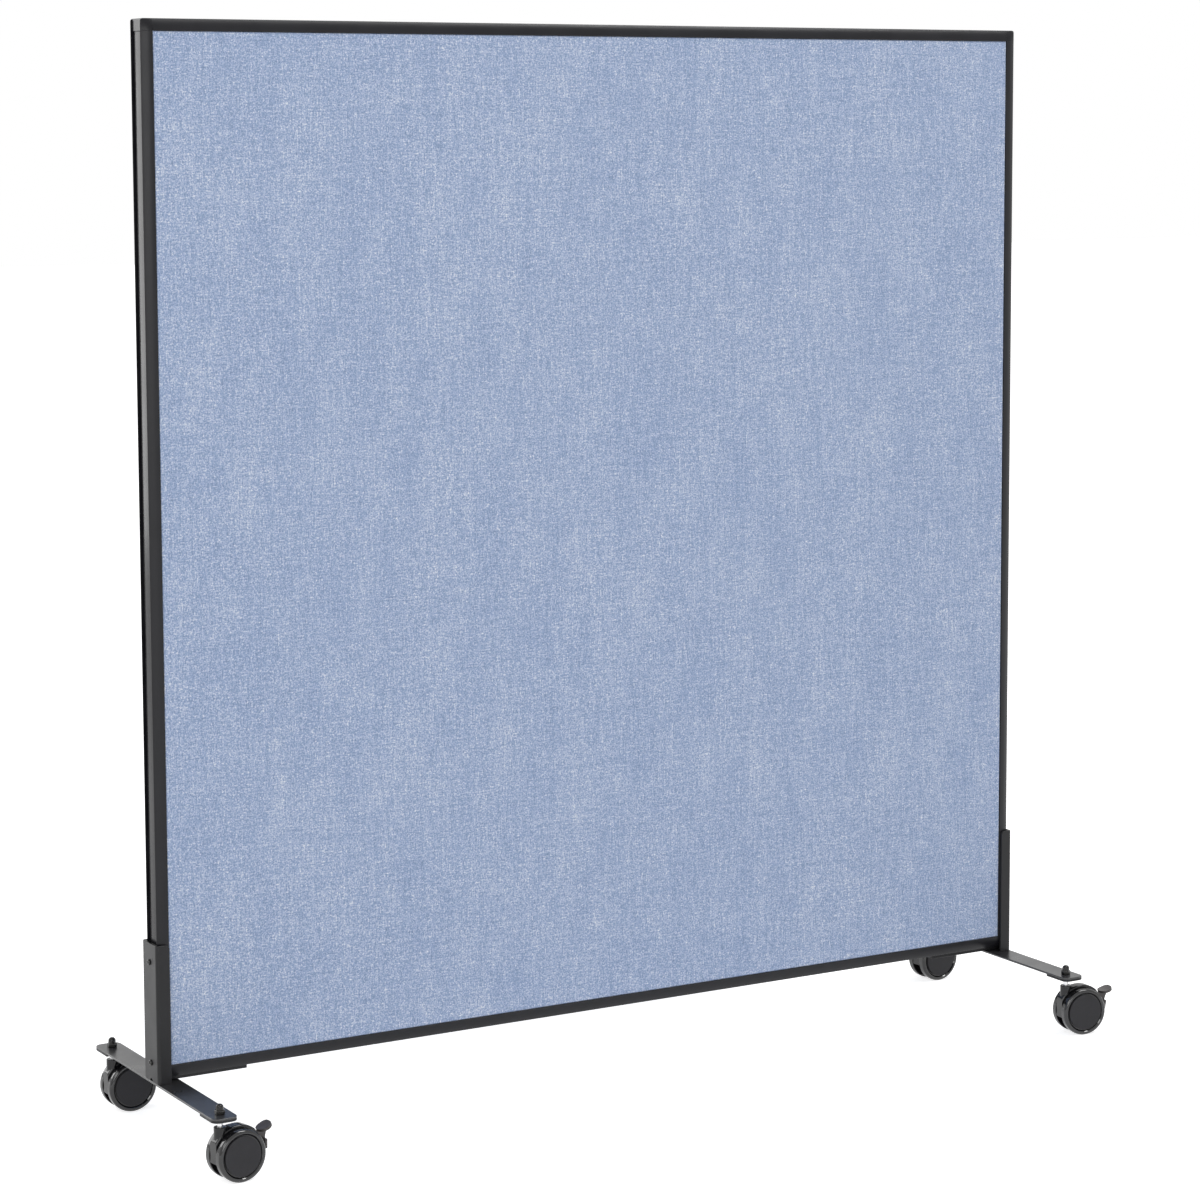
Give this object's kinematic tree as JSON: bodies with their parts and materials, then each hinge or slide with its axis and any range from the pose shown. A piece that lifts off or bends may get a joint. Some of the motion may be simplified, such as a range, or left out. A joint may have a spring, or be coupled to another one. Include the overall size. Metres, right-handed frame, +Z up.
{
  "type": "mobile office partition",
  "caption": "Free-standing rolling office partition: square fabric-covered panel in a slim dark frame, on cross feet with swivelling twin-wheel casters and front brake levers.",
  "frame": {"origin": "on the floor, below the middle of the panel", "axes": "X along the panel's width, Y through its thickness with the front (braked casters) towards -Y, Z up"},
  "size_m": [1.6008, 0.4553, 1.631],
  "materials": {
    "blue_fabric": "light blue heathered panel cloth with a fine slubby weave",
    "soft_board": "tackable soft fibreboard",
    "honeycomb_core": "paper honeycomb with a batten edge, modelled solid",
    "frame_charcoal": "satin charcoal coated extrusion",
    "corner_plastic": "moulded charcoal plastic",
    "strip_plastic": "satin charcoal plastic strip",
    "foot_powder_coat": "fine textured dark grey powder coat on steel",
    "nut_black": "black oxide",
    "bright_steel": "zinc plated steel",
    "caster_plastic": "glossy black nylon",
    "cap_plastic": "matte dark grey plastic",
    "lever_plastic": "satin dark grey plastic"
  },
  "bodies": {
    "partition": {"bottom_left_corner": "corner_plastic", "bottom_rail": "frame_charcoal", "bottom_right_corner": "corner_plastic", "bracket_screws": "nut_black", "caster_stems": "bright_steel", "front_board": "soft_board", "front_fabric": "blue_fabric", "left_filler_strip": "strip_plastic", "left_foot_bar": "foot_powder_coat", "left_front_pad": "foot_powder_coat", "left_post": "frame_charcoal", "left_rear_pad": "foot_powder_coat", "left_support_tongue": "foot_powder_coat", "left_upright_bracket": "foot_powder_coat", "panel_core": "honeycomb_core", "rear_board": "soft_board", "rear_fabric": "blue_fabric", "right_filler_strip": "strip_plastic", "right_foot_bar": "foot_powder_coat", "right_front_pad": "foot_powder_coat", "right_post": "frame_charcoal", "right_rear_pad": "foot_powder_coat", "right_support_tongue": "foot_powder_coat", "right_upright_bracket": "foot_powder_coat", "stem_nuts": "nut_black", "top_left_corner": "corner_plastic", "top_rail": "frame_charcoal", "top_right_corner": "corner_plastic"},
    "front_left_caster": {"front_left_body": "caster_plastic", "front_left_axle": "bright_steel", "front_left_brake_pin": "bright_steel"},
    "front_left_near_roller": {"front_left_near_wheel": "caster_plastic", "front_left_near_cap": "cap_plastic"},
    "front_left_far_roller": {"front_left_far_wheel": "caster_plastic", "front_left_far_cap": "cap_plastic"},
    "front_left_brake": {"front_left_brake_lever": "lever_plastic"},
    "front_right_caster": {"front_right_body": "caster_plastic", "front_right_axle": "bright_steel", "front_right_brake_pin": "bright_steel"},
    "front_right_near_roller": {"front_right_near_wheel": "caster_plastic", "front_right_near_cap": "cap_plastic"},
    "front_right_far_roller": {"front_right_far_wheel": "caster_plastic", "front_right_far_cap": "cap_plastic"},
    "front_right_brake": {"front_right_brake_lever": "lever_plastic"},
    "rear_left_caster": {"rear_left_body": "caster_plastic", "rear_left_axle": "bright_steel"},
    "rear_left_near_roller": {"rear_left_near_wheel": "caster_plastic", "rear_left_near_cap": "cap_plastic"},
    "rear_left_far_roller": {"rear_left_far_wheel": "caster_plastic", "rear_left_far_cap": "cap_plastic"},
    "rear_right_caster": {"rear_right_body": "caster_plastic", "rear_right_axle": "bright_steel"},
    "rear_right_near_roller": {"rear_right_near_wheel": "caster_plastic", "rear_right_near_cap": "cap_plastic"},
    "rear_right_far_roller": {"rear_right_far_wheel": "caster_plastic", "rear_right_far_cap": "cap_plastic"}
  },
  "joints": [
    {"name": "front_left_swivel", "type": "hinge", "parent": "partition", "child": "front_left_caster", "pos_m": [-0.75, -0.2, 0.07], "axis": [0, 0, 1], "continuous": true},
    {"name": "front_left_near_roll", "type": "hinge", "parent": "front_left_caster", "child": "front_left_near_roller", "pos_m": [-0.72514, -0.19739, 0.0381], "axis": [-0.1045, 0.9945, 0], "continuous": true},
    {"name": "front_left_far_roll", "type": "hinge", "parent": "front_left_caster", "child": "front_left_far_roller", "pos_m": [-0.72514, -0.19739, 0.0381], "axis": [-0.1045, 0.9945, 0], "continuous": true},
    {"name": "front_left_brake_press", "type": "hinge", "parent": "front_left_caster", "child": "front_left_brake", "pos_m": [-0.6953, -0.19425, 0.0521], "axis": [-0.1045, 0.9945, 0], "range_deg": [0, 15]},
    {"name": "front_right_swivel", "type": "hinge", "parent": "partition", "child": "front_right_caster", "pos_m": [0.75, -0.2, 0.07], "axis": [0, 0, 1], "continuous": true},
    {"name": "front_right_near_roll", "type": "hinge", "parent": "front_right_caster", "child": "front_right_near_roller", "pos_m": [0.77473, -0.20365, 0.0381], "axis": [0.1461, 0.9893, 0], "continuous": true},
    {"name": "front_right_far_roll", "type": "hinge", "parent": "front_right_caster", "child": "front_right_far_roller", "pos_m": [0.77473, -0.20365, 0.0381], "axis": [0.1461, 0.9893, 0], "continuous": true},
    {"name": "front_right_brake_press", "type": "hinge", "parent": "front_right_caster", "child": "front_right_brake", "pos_m": [0.80441, -0.20803, 0.0521], "axis": [0.1461, 0.9893, 0], "range_deg": [-8, 7]},
    {"name": "rear_left_swivel", "type": "hinge", "parent": "partition", "child": "rear_left_caster", "pos_m": [-0.75, 0.2, 0.07], "axis": [0, 0, 1], "continuous": true},
    {"name": "rear_left_near_roll", "type": "hinge", "parent": "rear_left_caster", "child": "rear_left_near_roller", "pos_m": [-0.725, 0.20044, 0.0381], "axis": [-0.0175, 0.9998, 0], "continuous": true},
    {"name": "rear_left_far_roll", "type": "hinge", "parent": "rear_left_caster", "child": "rear_left_far_roller", "pos_m": [-0.725, 0.20044, 0.0381], "axis": [-0.0175, 0.9998, 0], "continuous": true},
    {"name": "rear_right_swivel", "type": "hinge", "parent": "partition", "child": "rear_right_caster", "pos_m": [0.75, 0.2, 0.07], "axis": [0, 0, 1], "continuous": true},
    {"name": "rear_right_near_roll", "type": "hinge", "parent": "rear_right_caster", "child": "rear_right_near_roller", "pos_m": [0.77497, 0.20131, 0.0381], "axis": [-0.0523, 0.9986, 0], "continuous": true},
    {"name": "rear_right_far_roll", "type": "hinge", "parent": "rear_right_caster", "child": "rear_right_far_roller", "pos_m": [0.77497, 0.20131, 0.0381], "axis": [-0.0523, 0.9986, 0], "continuous": true}
  ]
}
